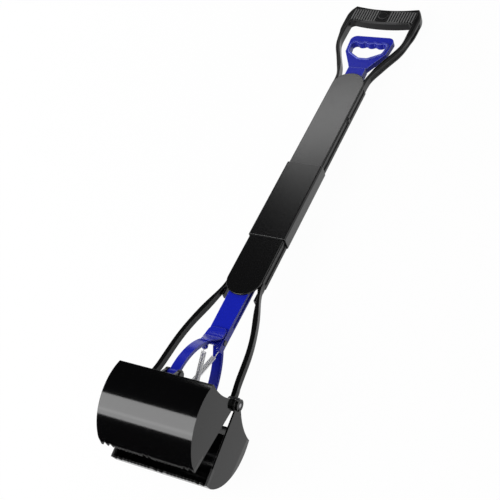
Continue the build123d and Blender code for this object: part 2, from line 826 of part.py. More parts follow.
def handle_edge(way, shares, start_x):
    points = [(way * start_x, loop_low)]
    for out_share, up_share in shares:
        points.append((way * grip_half_width * out_share, loop_low + loop_rise * up_share))
    return points


with BuildSketch(face(0)) as handle_face:
    right = handle_edge(1, grip_outer_shares, shaft_half_width)
    left = handle_edge(-1, grip_outer_shares, shaft_half_width)
    top_x = grip_half_width - grip_corner
    with BuildLine():
        Line(left[0], right[0])
        Spline(right, tangents=[(0, 1), (0, 1)])
        Spline(left, tangents=[(0, 1), (0, 1)])
        right_top = ThreePointArc(right[-1], (grip_half_width - grip_corner / 4,
                                              (right[-1][1] + grip_end_height) / 2 + grip_corner / 4),
                                  (top_x, grip_end_height))
        left_top = ThreePointArc(left[-1], (grip_corner / 4 - grip_half_width,
                                            (right[-1][1] + grip_end_height) / 2 + grip_corner / 4),
                                 (-top_x, grip_end_height))
        ThreePointArc((-top_x, grip_end_height), (0, grip_height), (top_x, grip_end_height))
    make_face()

with BuildSketch(face(0)) as grip_hole_face:
    right = handle_edge(1, grip_inner_shares, shaft_half_width - grip_arm_root)
    left = handle_edge(-1, grip_inner_shares, shaft_half_width - grip_arm_root)
    hole_x = right[-1][0]
    hole_high = grip_low + grip_end_height - grip_height
    with BuildLine():
        Polyline(left[0], (left[0][0], loop_low - overrun),
                 (right[0][0], loop_low - overrun), right[0])
        Spline(right, tangents=[(0, 1), (0, 1)])
        Spline(left, tangents=[(0, 1), (0, 1)])
        Line(right[-1], (hole_x, hole_high))
        Line(left[-1], (-hole_x, hole_high))
        ThreePointArc((-hole_x, hole_high), (0, grip_low), (hole_x, hole_high))
    make_face()
    fillet(grip_hole_face.vertices().group_by(Axis.Y)[-1], grip_hole_corner)

def is_rim(edge):
    # On the front or the back face, above the ends of the arms' roots
    spot = edge @ 0.5 - axle_place
    on_face = abs(abs(spot.dot(front_dir)) - grip_half_depth) < shaft_gap
    return on_face and spot.dot(handle_dir) > loop_low + overrun


with BuildPart() as upper_frame:
    add(handle_face.sketch)
    extrude(amount=grip_half_depth, both=True)
    fillet(upper_frame.edges().filter_by(is_rim), grip_edge)
    add(grip_hole_face.sketch)
    extrude(amount=grip_half_depth + overrun, both=True, mode=Mode.SUBTRACT)
    chamfer(upper_frame.edges(Select.LAST).filter_by(is_rim), grip_inner_edge)
    # Groove along the outside of both arms
    for way in (-1, 1):
        edge_points = handle_edge(way, grip_outer_shares, shaft_half_width)[1:]
        groove_points = [(x - way * arm_groove, height) for x, height in edge_points]
        beyond_x = way * (grip_half_width + overrun)
        with BuildSketch(face(0)):
            with BuildLine():
                Spline(groove_points)
                Polyline(groove_points[0], (beyond_x, groove_points[0][1]),
                         (beyond_x, groove_points[-1][1]), groove_points[-1])
            make_face()
        extrude(amount=rail_groove_half_height, both=True, mode=Mode.SUBTRACT)
    # Ribs of the grip, left between grooves, and the plain oval in the middle
    first_rib = badge_half_width + rib_groove
    with BuildSketch(face(grip_half_depth - rib_depth)):
        for number in range(rib_count):
            for way in (-1, 1):
                with Locations((way * (first_rib + number * rib_pitch),
                                (grip_low + grip_height) / 2)):
                    Rectangle(rib_groove, grip_bar - 2 * grip_edge)
    extrude(amount=rib_depth + overrun, mode=Mode.SUBTRACT)
    with BuildSketch(face(grip_half_depth - badge_rise)):
        with Locations((0, (grip_low + grip_height) / 2)):
            Ellipse(badge_half_width, badge_half_height)
    extrude(amount=2 * badge_rise)
    add(channel(upper_start, loop_low + arm_groove))
    add(guide_pads(upper_pads))
    add(rail_grooves(upper_start + 2 * rail_groove, stop_height - rail_groove), mode=Mode.SUBTRACT)
    add(rail_grooves(stop_height + stop_length + rail_groove, loop_low - rail_groove),
        mode=Mode.SUBTRACT)
    add(frame_ears(shaft_half_width, 1))
    add(screw_holes(upper_screws), mode=Mode.SUBTRACT)
    # Stops for the lock sleeve
    for way in (-1, 1):
        with BuildSketch(face(0)):
            with Locations((way * (shaft_half_width + stop_depth / 2), stop_height + stop_length / 2)):
                Rectangle(stop_depth, stop_length)
        extrude(amount=rail_groove_half_height, both=True)
    # Seat for the cover's round end between the roots of the handle
    with BuildSketch(face(cover_low_f)):
        add(cover_outline(upper_start, upper_cover_end))
        offset(amount=shaft_gap)
    extrude(amount=grip_half_depth, mode=Mode.SUBTRACT)

# Covers, each with four screw bosses that reach the back of its frame


def cover_body(start, end, heights):
    with BuildPart() as body:
        with BuildSketch(face(cover_low_f)):
            add(cover_outline(start, end))
        extrude(amount=cover_thickness)
        rim = body.faces().sort_by(lambda side: side.center().dot(front_dir))[-1].edges()
        fillet(rim, cover_thickness / 2)
        with BuildSketch(face(shaft_wall - shaft_half_depth)):
            with Locations(*screw_places(heights)):
                Circle(boss_wall)
        extrude(amount=cover_low_f + shaft_half_depth - shaft_wall)
        with BuildSketch(face(shaft_wall - shaft_half_depth)):
            with Locations(*screw_places(heights)):
                Circle(screw_radius)
        extrude(amount=shaft_half_depth - shaft_wall, mode=Mode.SUBTRACT)
    return body.part


with BuildPart() as upper_cover:
    add(cover_body(upper_start, upper_cover_end, upper_screws))

with BuildPart() as lower_cover:
    add(cover_body(lower_start, lower_cover_end, lower_screws))


def screw_body(heights):
    with BuildPart() as body:
        with BuildSketch(face(-shaft_half_depth)):
            with Locations(*screw_places(heights)):
                Circle(screw_head_radius)
        extrude(amount=screw_head_length)
        with BuildSketch(face(-shaft_half_depth)):
            with Locations(*screw_places(heights)):
                Circle(screw_radius)
        extrude(amount=shaft_half_depth)
    return body.part


with BuildPart() as upper_cover_screws:
    add(screw_body(upper_screws))

with BuildPart() as lower_cover_screws:
    add(screw_body(lower_screws))

# Rivets of the fold, one through each pair of ears

with BuildPart() as fold_rivets:
    for way in (-1, 1):
        rivet_inner = channel_half_width - shaft_gap
        with BuildSketch(side(way * rivet_inner)):
            with Locations((fold_height, 0)):
                Circle(fold_pin_radius)
        extrude(amount=way * (shaft_half_width - rivet_inner))
        with BuildSketch(side(way * rivet_inner)):
            with Locations((fold_height, 0)):
                Circle(fold_pin_radius + pin_head_length)
        extrude(amount=-way * pin_head_length)

# Lock sleeve over the fold

sleeve_inner_x = shaft_half_width + running_gap
sleeve_inner_f = shaft_half_depth + running_gap
sleeve_length = sleeve_high - sleeve_low

with BuildPart() as lock_sleeve:
    with BuildSketch(section(sleeve_high)):
        RectangleRounded(2 * (sleeve_inner_x + sleeve_wall), 2 * (sleeve_inner_f + sleeve_wall),
                         2 * sleeve_wall)
    extrude(amount=sleeve_length)
    with BuildSketch(section(sleeve_high + overrun)):
        Rectangle(2 * sleeve_inner_x, 2 * sleeve_inner_f)
    extrude(amount=sleeve_length + 2 * overrun, mode=Mode.SUBTRACT)

# Springs: two crossed extension springs, each hooked over a post on the rod
# and round the axle, coils and hooks in one unbroken wire


def biarc(start, start_dir, finish, finish_dir):
    # Two tangent arcs from one point and direction to another
    chord = finish - start
    both = start_dir + finish_dir
    spread = 2 * (1 - start_dir.dot(finish_dir))
    lean = chord.dot(both)
    if spread < tiny:
        reach = chord.dot(chord) / (2 * lean)
    else:
        reach = (sqrt(lean ** 2 + spread * chord.dot(chord)) - lean) / spread
    first = start + start_dir * reach
    last = finish - finish_dir * reach
    middle = (first + last) / 2
    return middle, (last - first).normalized()


def spring_points(way):
    # Places and directions along the wire, from the hook on the rod's post
    post_h = rod_pin_height - spring_post_drop
    top = Vector(-way * spring_reach, post_h, way * spring_offset)
    low = Vector(way * spring_reach, 0, way * spring_offset)
    down = (low - top).normalized()
    straight = Vector(0, -1, 0)
    front = Vector(0, 0, way)
    level = down.cross(front)
    coil_start = top + down * spring_lead
    coil_end = low - down * spring_lead
    coil_length = (coil_end - coil_start).length
    entry = 2 * spring_radius
    # Hook over the post, then down to the coils
    points = [(top - front * 2 * spring_offset + straight * spring_wire_radius, -straight),
              (top - front * 2 * spring_offset, -straight),
              (top - front * spring_offset - straight * spring_offset, front),
              (top, straight),
              (top + straight * spring_wire_radius, straight),
              (coil_start - down * spring_radius - down * entry / 2, down)]
    steps = 2 * spring_turns
    pitch_dir = coil_length / (spring_turns * 2 * pi * spring_radius)
    for step in range(steps + 1):
        turn = step * pi
        across = level * sin(turn) + front * cos(turn)
        round_dir = level * cos(turn) - front * sin(turn)
        centre = coil_start + down * (coil_length * step / steps)
        points.append((centre + across * spring_radius, (round_dir + down * pitch_dir).normalized()))
    points += [(coil_end + down * (spring_radius + entry / 2), down),
               (low - straight * spring_wire_radius, straight),
               (low, straight),
               (low - front * spring_offset + straight * spring_offset, -front),
               (low - front * 2 * spring_offset, -straight),
               (low - front * 2 * spring_offset - straight * spring_wire_radius, -straight)]
    return points


def spring_path(way):
    arcs = []
    points = [(place(p.X, p.Y, p.Z), along(d.X, d.Y, d.Z)) for p, d in spring_points(way)]
    for (start, start_dir), (finish, finish_dir) in zip(points, points[1:]):
        if (finish - start).cross(start_dir).length < bend_limit:
            arcs.append(Line(start, finish))
        else:
            middle, middle_dir = biarc(start, start_dir, finish, finish_dir)
            arcs.append(TangentArc(start, middle, tangent=start_dir))
            arcs.append(TangentArc(middle, finish, tangent=middle_dir))
    return arcs


with BuildPart() as front_spring:
    with BuildLine() as front_wire:
        front_arcs = spring_path(1)
    with BuildSketch(Plane(origin=front_arcs[0] @ 0, z_dir=front_arcs[0] % 0)):
        RegularPolygon(spring_wire_radius, spring_wire_sides)
    sweep(path=front_wire.wire(), clean=False)

with BuildPart() as rear_spring:
    with BuildLine() as rear_wire:
        rear_arcs = spring_path(-1)
    with BuildSketch(Plane(origin=rear_arcs[0] @ 0, z_dir=rear_arcs[0] % 0)):
        RegularPolygon(spring_wire_radius, spring_wire_sides)
    sweep(path=rear_wire.wire(), clean=False)

pieces = {
    "upper_frame": upper_frame, "upper_cover": upper_cover,
    "upper_cover_screws": upper_cover_screws, "lower_frame": lower_frame,
    "lower_cover": lower_cover, "lower_cover_screws": lower_cover_screws,
    "fold_rivets": fold_rivets, "lock_sleeve": lock_sleeve, "trigger": trigger,
    "rod_fold_pin": rod_fold_pin, "pull_rod": pull_rod, "rod_end_pin": rod_end_pin,
    "front_link": front_link, "front_link_pin": front_link_pin,
    "rear_link": rear_link, "rear_link_pin": rear_link_pin,
    "jaw_axle": jaw_axle, "axle_caps": axle_caps,
    "front_bucket": front_bucket, "rear_bucket": rear_bucket,
    "front_spring": front_spring, "rear_spring": rear_spring,
}

for piece_name, piece in pieces.items():
    piece.part.label = piece_name
    export_step(piece.part, f"parts/{piece_name}.step")


def least_gap(wire):
    # Between two stretches of one wire, surface to surface
    count = int(wire.length / spring_wire_radius)
    spots = [wire @ (number / count) for number in range(count + 1)]
    apart = int(2 * pi * spring_wire_radius / (wire.length / count)) + spring_wire_sides
    gaps = []
    for number, spot in enumerate(spots):
        for other in spots[number + apart:]:
            gaps.append((other - spot).length)
    return min(gaps) - 2 * spring_wire_radius


for spring_name, wire in (("front_spring", front_wire), ("rear_spring", rear_wire)):
    print(f"{spring_name}: least gap to itself {least_gap(wire.wire()):.2f} mm")
print(f"handle slopes {lie_tilt:.3f} degrees, axle at y {axle_y:.3f} z {axle_z:.3f}")
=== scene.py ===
# %% [markdown]
# A folding scooper, photographed from above and to one side. Nearly all of it
# is black moulded plastic, with a blue pull rod inside and two steel springs.
# The shapes of its solids come with the frame. Blender adds the camera, the
# light, the finishes, and the pieces whose shape the solids only stand in for.

# %% Load the frame
import json
import math

import bmesh
import bpy
from mathutils import Matrix, Vector


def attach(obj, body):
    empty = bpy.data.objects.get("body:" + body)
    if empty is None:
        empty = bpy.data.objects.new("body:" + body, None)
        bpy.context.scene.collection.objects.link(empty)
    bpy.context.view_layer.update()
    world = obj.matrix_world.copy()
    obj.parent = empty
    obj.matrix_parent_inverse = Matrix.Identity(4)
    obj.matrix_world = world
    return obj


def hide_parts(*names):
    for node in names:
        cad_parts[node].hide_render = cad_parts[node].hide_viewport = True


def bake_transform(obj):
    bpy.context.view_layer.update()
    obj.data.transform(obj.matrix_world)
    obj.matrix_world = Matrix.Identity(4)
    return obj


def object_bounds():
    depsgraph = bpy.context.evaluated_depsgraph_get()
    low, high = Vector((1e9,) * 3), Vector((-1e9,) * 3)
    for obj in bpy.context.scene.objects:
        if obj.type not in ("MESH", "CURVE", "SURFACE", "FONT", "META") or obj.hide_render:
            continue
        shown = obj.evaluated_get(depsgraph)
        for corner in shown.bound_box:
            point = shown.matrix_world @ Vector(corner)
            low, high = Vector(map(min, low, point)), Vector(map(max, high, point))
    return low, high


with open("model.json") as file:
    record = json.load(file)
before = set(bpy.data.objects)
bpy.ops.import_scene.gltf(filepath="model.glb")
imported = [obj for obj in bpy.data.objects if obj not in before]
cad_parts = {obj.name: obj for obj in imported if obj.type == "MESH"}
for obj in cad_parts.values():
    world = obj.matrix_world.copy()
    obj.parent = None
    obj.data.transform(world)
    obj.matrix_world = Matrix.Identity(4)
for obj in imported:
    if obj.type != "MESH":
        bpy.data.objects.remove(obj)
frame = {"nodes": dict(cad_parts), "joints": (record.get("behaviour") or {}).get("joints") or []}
cad_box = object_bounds()
nodes = frame["nodes"]
joints = {joint["name"]: joint for joint in frame["joints"]}

# %% [markdown]
# The scooper lies on its back, and its handle slopes a little. It is easier to
# say where something is by three numbers: x along the jaw axle, h along the
# handle from the axle, and f towards the front. The axle's place and the
# handle's direction are both in the frame's joints, so they are read there.

# %% Places on the handle
axle = Vector(joints["front_jaw_hinge"]["pos_m"])
handle_dir = Vector(joints["trigger_slide"]["axis"]).normalized()
across_dir = Vector((1, 0, 0))
front_dir = across_dir.cross(handle_dir)


def along(x, h, f):
    return across_dir * x + handle_dir * h + front_dir * f


def place(x, h, f):
    return axle + along(x, h, f)


print("axle at", axle[:], "handle along", handle_dir[:])

# %% [markdown]
# The camera stands where the photographer's did. It was found by matching a
# few dozen points of the object with their places in the photograph, which
# gives its position, where it looks, and the lens. The small shift is there
# because the photograph was cropped off its centre.

# %% Camera
camera_data = bpy.data.cameras.new("camera")
camera_data.sensor_width = 36
camera_data.lens = 71.6
camera_data.shift_x = -0.0419
camera_data.shift_y = -0.0275
camera_data.clip_end = 50        # far enough for the studio floor
camera = bpy.data.objects.new("camera", camera_data)
bpy.context.scene.collection.objects.link(camera)

view_right = along(0.8822, 0.3970, -0.2533)
view_up = along(-0.1583, 0.7565, 0.6346)
view_back = view_right.cross(view_up).normalized()
view_up = view_back.cross(view_right.normalized())
turn = Matrix((view_right.normalized(), view_up, view_back)).transposed()
camera_place = place(0.5930, -0.4448, 0.9760)
camera.matrix_world = Matrix.Translation(camera_place) @ turn.to_4x4()
bpy.context.scene.camera = camera
print("camera at", camera.location[:])

# %% [markdown]
# Product photographs of black plastic are lit by a few large soft boxes. Gloss
# black shows hardly any colour of its own, so what gives it form is the shape
# of each soft box mirrored in it. So each lamp stands where the mirror image
# of the camera in one face of the object would see it.

# %% A lamp placed by its reflection


def mirror_lamp(name, spot, normal, distance, width, height, power):
    # Stands where the camera sees it reflected in a face at spot
    normal = normal.normalized()
    out = (camera.location - spot).normalized()
    way = (2 * out.dot(normal) * normal - out).normalized()
    data = bpy.data.lights.new(name, "AREA")
    data.shape = "RECTANGLE"
    data.size = width
    data.size_y = height
    data.energy = power
    lamp = bpy.data.objects.new(name, data)
    bpy.context.scene.collection.objects.link(lamp)
    facing = (-way).to_track_quat("-Z", "Y").to_matrix()
    lamp.matrix_world = Matrix.Translation(spot + way * distance) @ facing.to_4x4()
    print(name, "from", [round(v, 2) for v in way])
    return lamp


# %% [markdown]
# Shader maths reads best as plain sums. This small class wraps a node's
# output, so that an expression such as 1 - mask * 0.5 adds the Math nodes for
# it. Any other node comes from add(), which takes its type, its settings, and
# the values or links of its sockets.

# %% Node maths


class Finish:
    def __init__(self, name):
        self.material = bpy.data.materials.new(name)
        self.material.use_nodes = True
        self.tree = self.material.node_tree
        self.tree.nodes.clear()

    def add(self, kind, settings=None, out=0, **inputs):
        node = self.tree.nodes.new(kind)
        for key, value in (settings or {}).items():
            if key == "stops":
                for element, (spot, shade) in zip(node.color_ramp.elements, value):
                    element.position = spot
                    element.color = (shade, shade, shade, 1)
            else:
                setattr(node, key, value)
        for key, value in inputs.items():
            name = key.replace("_", " ").strip()
            socket = node.inputs[int(name)] if name.isdigit() else node.inputs[name]
            self.feed(socket, value)
        return Wire(self, node.outputs[out])

    def feed(self, socket, value):
        if isinstance(value, Wire):
            self.tree.links.new(value.socket, socket)
        elif socket.type == "RGBA":
            socket.default_value = (*value, 1)
        else:
            socket.default_value = value

    def finish(self, shader):
        output = self.tree.nodes.new("ShaderNodeOutputMaterial")
        self.tree.links.new(shader.socket, output.inputs["Surface"])
        return self.material


class Wire:
    def __init__(self, owner, socket):
        self.owner = owner
        self.socket = socket

    def maths(self, operation, first, second=0.0):
        node = self.owner.tree.nodes.new("ShaderNodeMath")
        node.operation = operation
        self.owner.feed(node.inputs[0], first)
        self.owner.feed(node.inputs[1], second)
        return Wire(self.owner, node.outputs[0])

    def __add__(self, other):
        return self.maths("ADD", self, other)

    def __radd__(self, other):
        return self.maths("ADD", other, self)

    def __sub__(self, other):
        return self.maths("SUBTRACT", self, other)

    def __rsub__(self, other):
        return self.maths("SUBTRACT", other, self)

    def __mul__(self, other):
        return self.maths("MULTIPLY", self, other)

    def __rmul__(self, other):
        return self.maths("MULTIPLY", other, self)

    def __gt__(self, other):
        return self.maths("GREATER_THAN", self, other)

    def __lt__(self, other):
        return self.maths("LESS_THAN", self, other)

    def __abs__(self):
        return self.maths("ABSOLUTE", self)


# %% [markdown]
# A finish can follow the shape of the piece. How far a point lies from the
# axle along some direction is a dot product with the point's own place, so a
# mask for a region needs no picture and no painting. Object coordinates keep
# it on the piece when the piece moves.

# %% Distance from the axle


def distance_along(finish, spot, direction):
    reach = finish.add("ShaderNodeVectorMath", {"operation": "DOT_PRODUCT"}, out="Value",
                       _0=spot, _1=tuple(direction))
    return reach - axle.dot(direction)


# %% [markdown]
# The D handle's grip has ribs across its front. A highlight is painted on the
# tops of the ribs, and in the grooves between them the edge highlight is left
# out, so they stay dark as painted shade. The grooves are real in the solid, so
# the mask only has to tell how deep a point lies under the front of the grip.

# %% Painted highlights on the ribs of the grip
rib_top_f = 0.0083               # just under the tops of the ribs
groove_floor_f = 0.0065          # just under the floors of the grooves
ribs_low_h, ribs_high_h = 0.687, 0.7131
ribs_inner_x, ribs_outer_x = 0.0085, 0.0535
rib_highlight_strength = 0.9


def rib_highlights(finish, spot):
    # Masks for the painted highlight on the tops of the ribs, and for the painted shade in the
    # grooves
    height = distance_along(finish, spot, handle_dir)
    front = distance_along(finish, spot, front_dir)
    across = abs(finish.add("ShaderNodeSeparateXYZ", out=0, Vector=spot))
    field = ((height > ribs_low_h) * (height < ribs_high_h)
             * (across > ribs_inner_x) * (across < ribs_outer_x))
    on_top = front > rib_top_f
    deep = (front > groove_floor_f) * (1 - on_top)
    return field * on_top * rib_highlight_strength, field * deep


# %% [markdown]
# The toothed lips of the buckets are drawn paler than the gloss black above
# them, in the grey of the edges. Each lip lies along the plane in which
# the two buckets meet, and that plane is turned open round the axle, by a
# little more at the rear bucket than at the front one.

# %% Paler lips of the buckets
lip_reach = 0.080                # nearer to the axle there is no lip
lip_depth = 0.0055               # how far the paler strip goes up from the teeth
lip_paleness = 0.4


def pale_lip(side, opening):
    # side is 1 for the front bucket and -1 for the rear one
    turn = math.radians(opening)
    to_lip = front_dir * (side * math.sin(turn)) - handle_dir * math.cos(turn)
    to_shell = front_dir * (side * math.cos(turn)) + handle_dir * math.sin(turn)

    def marks(finish, spot):
        # The second mask, of painted shade, is empty here
        reach = distance_along(finish, spot, to_lip)
        height = distance_along(finish, spot, to_shell)
        lip = (reach > lip_reach) * (height < lip_depth)
        return lip * lip_paleness, 0.0

    return marks


# %% [markdown]
# Moulded plastic is never quite even. The steel mould leaves a very fine grain
# and slow waves where the plastic shrank, and use leaves a few soft scuffs that
# dull the gloss. All three are noise at different scales, read from Object
# coordinates so that they sit still on the piece. A Bevel node rounds the
# edges in the shading only. Where its normal leaves the flat one there is an
# edge, and a highlight is painted there in a paler colour, so the same node
# also makes that mask.

# %% A moulded plastic
waves_scale, scuffs_scale, grain_scale = 14.0, 95.0, 2600.0
tint = 0.25                      # how much lighter the plastic gets in places
least_tint = 0.001               # so that black gets lighter too
wave_share, scuff_share = 0.6, 0.25          # of that tint
wave_height = 0.15
grain_height = 0.0012
grain_roughness = 0.03
# how strongly the painted edge highlight follows the edges
edge_highlight_strength = 14.0


def plastic(name, colour, gloss, edge_highlight_colour, edge, scuffs=0.08, shine=0.5, marks=None):
    finish = Finish(name)
    spot = finish.add("ShaderNodeTexCoord", out=3)
    slow = finish.add("ShaderNodeTexNoise", Vector=spot, Scale=waves_scale, Detail=2.0)
    fine = finish.add("ShaderNodeTexNoise", Vector=spot, Scale=grain_scale, Detail=2.0)
    scuff = finish.add("ShaderNodeTexNoise", Vector=spot, Scale=scuffs_scale, Detail=6.0,
                       Roughness=0.7)
    worn = finish.add("ShaderNodeValToRGB", {"stops": ((0.56, 0.0), (0.80, 1.0))}, Fac=scuff)
    lighter = tuple(c * (1 + tint) + least_tint for c in colour)
    shade = finish.add("ShaderNodeMix", {"data_type": "RGBA"}, out=2,
                       Factor=slow * wave_share + worn * scuff_share, _6=colour, _7=lighter)
    rounded = finish.add("ShaderNodeBevel", {"samples": 6}, Radius=edge)
    flat = finish.add("ShaderNodeNewGeometry", out="Normal")
    same = finish.add("ShaderNodeVectorMath", {"operation": "DOT_PRODUCT"}, out="Value",
                      _0=rounded, _1=flat)
    # Edges are painted paler, as a highlight where a rounded edge catches the light
    edge_highlight = same.maths("MINIMUM", (1 - same) * edge_highlight_strength, 1.0)
    if marks:
        # Marked places get the paler colour, and in places of painted shade the edge highlight
        # is taken away
        paler_place, shaded_place = marks(finish, spot)
        edge_highlight = edge_highlight.maths("MAXIMUM", edge_highlight * (1 - shaded_place), paler_place)
    # The paler colour mixed in here is the painted edge highlight
    shade = finish.add("ShaderNodeMix", {"data_type": "RGBA"}, out=2,
                       Factor=edge_highlight, _6=shade, _7=edge_highlight_colour)
    rough = gloss + worn * scuffs + fine * grain_roughness
    height = slow * wave_height + fine * grain_height
    bump = finish.add("ShaderNodeBump", Height=height, Strength=0.25, Distance=0.0008,
                      Normal=rounded)
    shader = finish.add("ShaderNodeBsdfPrincipled", Base_Color=shade, Roughness=rough,
                        Normal=bump, Specular_IOR_Level=shine)
    return finish.finish(shader)


# %% [markdown]
# The buckets are the glossiest, the covers and the sleeve are a little duller,
# and the frames are dull, with paler highlights painted on their edges. The blue
# pieces are all of one colour. They differ in their gloss and in how bright the
# highlights painted on their edges are: the trigger's rim gets the brightest,
# and the rear link is the dullest.

# %% Plastic finishes
bucket_colour = (0.0018, 0.0018, 0.0020)
cover_colour = (0.0042, 0.0042, 0.0044)
frame_colour = (0.0030, 0.0030, 0.0032)
rod_colour = (0.0075, 0.0145, 0.375)
# Paler colours painted on the edges as highlights; the buckets' lips take the grey too
grey_edge_highlight = (0.10, 0.10, 0.10)
pale_grey_edge_highlight = (0.15, 0.15, 0.15)
blue_edge_highlight = (0.16, 0.19, 0.85)
bright_blue_edge_highlight = (0.34, 0.38, 0.95)
front_opening, rear_opening = 8.0, 11.0      # of the buckets at rest, degrees

sleeve_black = plastic("sleeve plastic", cover_colour, 0.21, grey_edge_highlight, 0.0010, scuffs=0.03)
cover_black = plastic("cover plastic", cover_colour, 0.19, grey_edge_highlight, 0.0004, scuffs=0.03)
frame_black = plastic("frame plastic", frame_colour, 0.27, pale_grey_edge_highlight, 0.0006, shine=0.2)
grip_black = plastic("grip plastic", frame_colour, 0.27, pale_grey_edge_highlight, 0.0006, shine=0.2,
                     marks=rib_highlights)
front_bucket_black = plastic("front bucket plastic", bucket_colour, 0.09, grey_edge_highlight, 0.0005,
                             marks=pale_lip(1, front_opening))
rear_bucket_black = plastic("rear bucket plastic", bucket_colour, 0.09, grey_edge_highlight, 0.0005,
                            marks=pale_lip(-1, rear_opening))
rod_blue = plastic("blue plastic", rod_colour, 0.17, blue_edge_highlight, 0.0005, shine=0.22)
front_link_blue = plastic("front link plastic", rod_colour, 0.20, blue_edge_highlight, 0.0007, shine=0.42)
rear_link_blue = plastic("rear link plastic", rod_colour, 0.30, blue_edge_highlight, 0.0006, shine=0.08)
trigger_blue = plastic("trigger plastic", rod_colour, 0.26, bright_blue_edge_highlight, 0.0011,
                       shine=0.12)
print("plastics made")

# %% [markdown]
# The steel pieces are small. The spring wire, the axle and the rivets are
# bright, and the other pins, the caps and the screws are blacked. The axle and
# the rivets carry fine marks along their length, which is noise stretched by a
# Mapping node.

# %% Steel finishes
tarnish_scale = 260.0
tarnish = 0.72                   # the share of its colour that dull steel keeps
line_roughness = 0.12


def steel(name, colour, gloss, stretch):
    finish = Finish(name)
    spot = finish.add("ShaderNodeTexCoord", out=3)
    drawn = finish.add("ShaderNodeMapping", Vector=spot, Scale=stretch)
    lines = finish.add("ShaderNodeTexNoise", Vector=drawn, Scale=1.0, Detail=3.0)
    dull = finish.add("ShaderNodeTexNoise", Vector=spot, Scale=tarnish_scale, Detail=3.0)
    darker = tuple(c * tarnish for c in colour)
    shade = finish.add("ShaderNodeMix", {"data_type": "RGBA"}, out=2,
                       Factor=dull, _6=colour, _7=darker)
    bump = finish.add("ShaderNodeBump", Height=lines, Strength=0.2, Distance=0.0002)
    shader = finish.add("ShaderNodeBsdfPrincipled", Base_Color=shade, Metallic=1.0,
                        Roughness=gloss + lines * line_roughness, Normal=bump)
    return finish.finish(shader)


spring_steel = steel("spring wire", (0.80, 0.80, 0.81), 0.22, (900.0, 900.0, 900.0))
pin_steel = steel("pin steel", (0.62, 0.62, 0.64), 0.28, (120.0, 2600.0, 2600.0))
dark_steel = steel("blacked steel", (0.10, 0.10, 0.105), 0.34, (900.0, 900.0, 900.0))
print("steels made")

# %% [markdown]
# Each solid gets the finish of the real piece. Assigning to the material slots
# leaves the mesh as it is.

# %% Finishes on the solids
finishes = {
    "front_bucket": front_bucket_black, "rear_bucket": rear_bucket_black,
    "upper_cover": cover_black, "lower_cover": cover_black, "lock_sleeve": sleeve_black,
    "upper_frame": grip_black, "lower_frame": frame_black,
    "trigger": trigger_blue, "pull_rod": rod_blue,
    "front_link": front_link_blue, "rear_link": rear_link_blue,
    "jaw_axle": pin_steel, "axle_caps": dark_steel,
    "rod_end_pin": dark_steel, "rod_fold_pin": dark_steel,
    "front_link_pin": dark_steel, "rear_link_pin": dark_steel,
    "fold_rivets": pin_steel,
    "upper_cover_screws": dark_steel, "lower_cover_screws": dark_steel,
    "front_spring": spring_steel, "rear_spring": spring_steel,
}
for node_name, obj in nodes.items():
    obj.data.materials.clear()
    obj.data.materials.append(finishes[node_name])
print(len(finishes), "solids finished")

# %% [markdown]
# A spring coiler bends one wire all the way: a hook, a straight lead, the
# coils, another lead and the other hook. The same is done here with a ring of
# points. Spin turns the ring round an axis and leaves the wire's wall behind
# it, and its dvec moves it on at each step, which makes a coil.

# %% Wire bending
wire_sides = 8
turn_steps = 14                  # in each turn of a coil, and in each hook
bend_steps = 6
aim_rounds = 12
nearly_straight = 1e-4
weld_distance = 1e-6


class WireBender:
    def __init__(self, spot, way, radius):
        self.bm = bmesh.new()
        self.way = way.normalized()
        self.spot = spot
        ring = bmesh.ops.create_circle(self.bm, cap_ends=True, radius=radius,
                                       segments=wire_sides)
        turned = self.way.to_track_quat("Z", "Y").to_matrix().to_4x4()
        placed = Matrix.Translation(spot) @ turned
        bmesh.ops.transform(self.bm, matrix=placed, verts=ring["verts"])
        self.end = self.bm.edges[:]

    def run(self, length):
        made = bmesh.ops.extrude_edge_only(self.bm, edges=self.end)["geom"]
        verts = [g for g in made if isinstance(g, bmesh.types.BMVert)]
        bmesh.ops.translate(self.bm, vec=self.way * length, verts=verts)
        self.end = [g for g in made if isinstance(g, bmesh.types.BMEdge)
                    and g.verts[0] in verts and g.verts[1] in verts]
        self.spot = self.spot + self.way * length

    def bend(self, axis, reach, angle, steps, rise=0.0):
        # Turns about an axis that lies reach to the side of the wire
        axis = axis.normalized()
        side = axis.cross(self.way - axis * self.way.dot(axis)).normalized()
        centre = self.spot + side * reach
        moved = bmesh.ops.spin(self.bm, geom=self.end, cent=centre, axis=axis, angle=angle,
                               steps=steps, dvec=axis * (rise / steps))["geom_last"]
        self.end = [g for g in moved if isinstance(g, bmesh.types.BMEdge)]
        spun = Matrix.Rotation(angle, 3, axis)
        self.spot = centre + spun @ (self.spot - centre) + axis * rise
        self.way = (spun @ self.way).normalized()

    def aim(self, target, reach=0.0012):
        # Bends the wire until it points at target, and gives the way left to it.
        # The bend itself moves the wire, so the angle is found in a few rounds.
        wanted = (target - self.spot).normalized()
        for _ in range(aim_rounds):
            axis = self.way.cross(wanted)
            if axis.length < nearly_straight:
                return (target - self.spot).length
            arm = axis.normalized().cross(self.way) * reach
            spun = Matrix.Rotation(self.way.angle(wanted), 3, axis.normalized())
            wanted = (target - (self.spot + arm - spun @ arm)).normalized()
        self.bend(self.way.cross(wanted), reach, self.way.angle(wanted), bend_steps)
        return (target - self.spot).length

    def close(self, name, material):
        bmesh.ops.holes_fill(self.bm, edges=self.end, sides=0)
        bmesh.ops.remove_doubles(self.bm, verts=self.bm.verts, dist=weld_distance)
        bmesh.ops.recalc_face_normals(self.bm, faces=self.bm.faces)
        mesh = bpy.data.meshes.new(name)
        self.bm.to_mesh(mesh)
        self.bm.free()
        obj = bpy.data.objects.new(name, mesh)
        bpy.context.scene.collection.objects.link(obj)
        mesh.materials.append(material)
        mesh.shade_smooth()
        return obj


# %% [markdown]
# The springs pull the rod towards the axle and so keep the jaws shut. They
# cross, one in front of the other, and each has many close turns of thin wire,
# far more than a solid model needs. The solids say where the hooks are.

